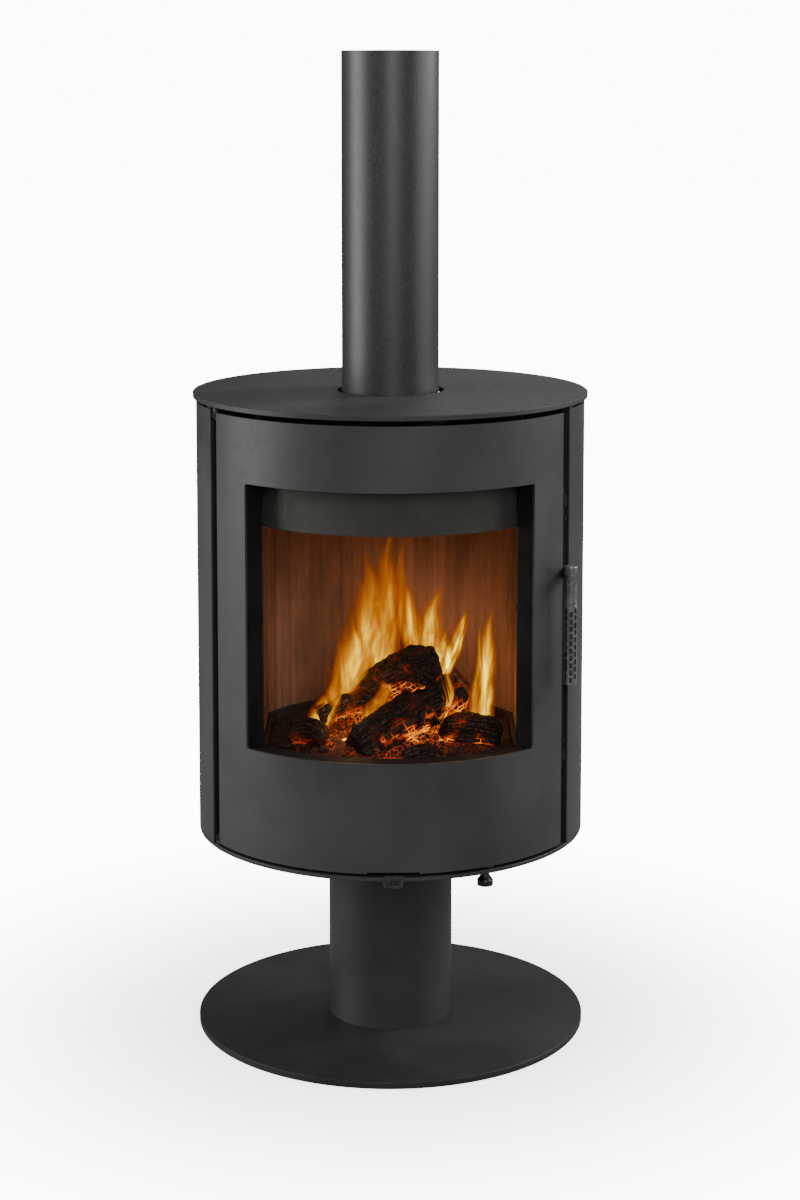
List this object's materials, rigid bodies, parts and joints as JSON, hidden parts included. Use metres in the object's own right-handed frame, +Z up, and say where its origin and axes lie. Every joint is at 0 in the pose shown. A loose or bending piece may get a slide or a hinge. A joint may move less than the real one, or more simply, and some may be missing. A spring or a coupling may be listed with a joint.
{
  "type": "wood burning stove",
  "caption": "Round free-standing wood burning stove on a column and base disc, with a curved glazed door, upright handle, top flue pipe and brick-lined firebox.",
  "frame": {"origin": "on the floor under the middle of the round base plate", "axes": "+Z up along the flue and the drum's axis, -Y out of the glazed door, +X to the handle's side"},
  "size_m": [0.6099, 0.6205, 1.52],
  "materials": {
    "black_paint": "satin",
    "top_paint": "satin",
    "interior_steel": "matt",
    "flue_steel": "satin",
    "bare_steel": "satin",
    "handle_steel": "satin",
    "knob_steel": "satin",
    "cast_iron": "matt",
    "fireclay": "matt",
    "window_glass": "gloss",
    "rope_seal": "matt",
    "log_bark": "matt",
    "ember": "matt",
    "flame": "glow"
  },
  "bodies": {
    "stove_body": {"base_plate": "black_paint", "pedestal_column": "black_paint", "column_foot_flange": "interior_steel", "column_head_flange": "interior_steel", "foot_bolts": "bare_steel", "head_bolts": "bare_steel", "air_tube": "interior_steel", "bottom_plate": "black_paint", "cladding_pillars": "interior_steel", "top_plate": "top_paint", "side_panel_right": "black_paint", "side_panel_left": "black_paint", "rear_panel": "black_paint", "panel_screws": "bare_steel", "firebox_feet": "interior_steel", "firebox_base": "interior_steel", "firebox_shell": "interior_steel", "firebox_floor": "interior_steel", "firebox_roof": "interior_steel", "top_spacers": "interior_steel", "flue_collar": "interior_steel", "flue_pipe": "flue_steel", "side_brick_right": "fireclay", "side_brick_left": "fireclay", "back_brick_1": "fireclay", "back_brick_2": "fireclay", "back_brick_3": "fireclay", "baffle_plate": "fireclay", "fire_basin": "cast_iron", "fire_grate": "cast_iron", "ash_pan": "interior_steel", "heat_shield": "interior_steel", "shield_spacers": "interior_steel", "latch_keepers": "bare_steel", "hinge_pins": "bare_steel", "air_collar": "interior_steel", "slide_rails": "interior_steel"},
    "door": {"door_skin": "black_paint", "door_frame": "interior_steel", "door_glass": "window_glass", "glass_gasket": "rope_seal", "glass_clips": "bare_steel", "clip_screws": "bare_steel", "door_seal": "rope_seal", "hinge_knuckles": "interior_steel", "latch_bushes": "interior_steel"},
    "handle": {"latch_rod": "bare_steel", "rod_collars": "bare_steel", "latch_hooks": "bare_steel", "handle_arm": "handle_steel", "grip_core": "interior_steel", "grip_cap": "handle_steel", "grip_sleeve": "handle_steel"},
    "air_control": {"air_sleeve": "interior_steel", "air_lever": "black_paint"},
    "primary_air": {"primary_slide": "bare_steel", "primary_knob": "knob_steel"}
  },
  "joints": [
    {"name": "door_hinge", "type": "hinge", "parent": "stove_body", "child": "door", "pos_m": [-0.25786, -0.13913, 0.65], "axis": [0, 0, -1], "range_deg": [0, 110]},
    {"name": "handle_turn", "type": "hinge", "parent": "door", "child": "handle", "pos_m": [0.25706, -0.13639, 0.65], "axis": [0, 0, 1], "range_deg": [0, 40]},
    {"name": "air_lever_turn", "type": "hinge", "parent": "stove_body", "child": "air_control", "pos_m": [0, 0, 0.33], "axis": [0, 0, 1], "range_deg": [-4.5, 4.5]},
    {"name": "primary_air_slide", "type": "slide", "parent": "stove_body", "child": "primary_air", "axis": [0, 1, 0], "range_m": [0, 0.04]}
  ]
}
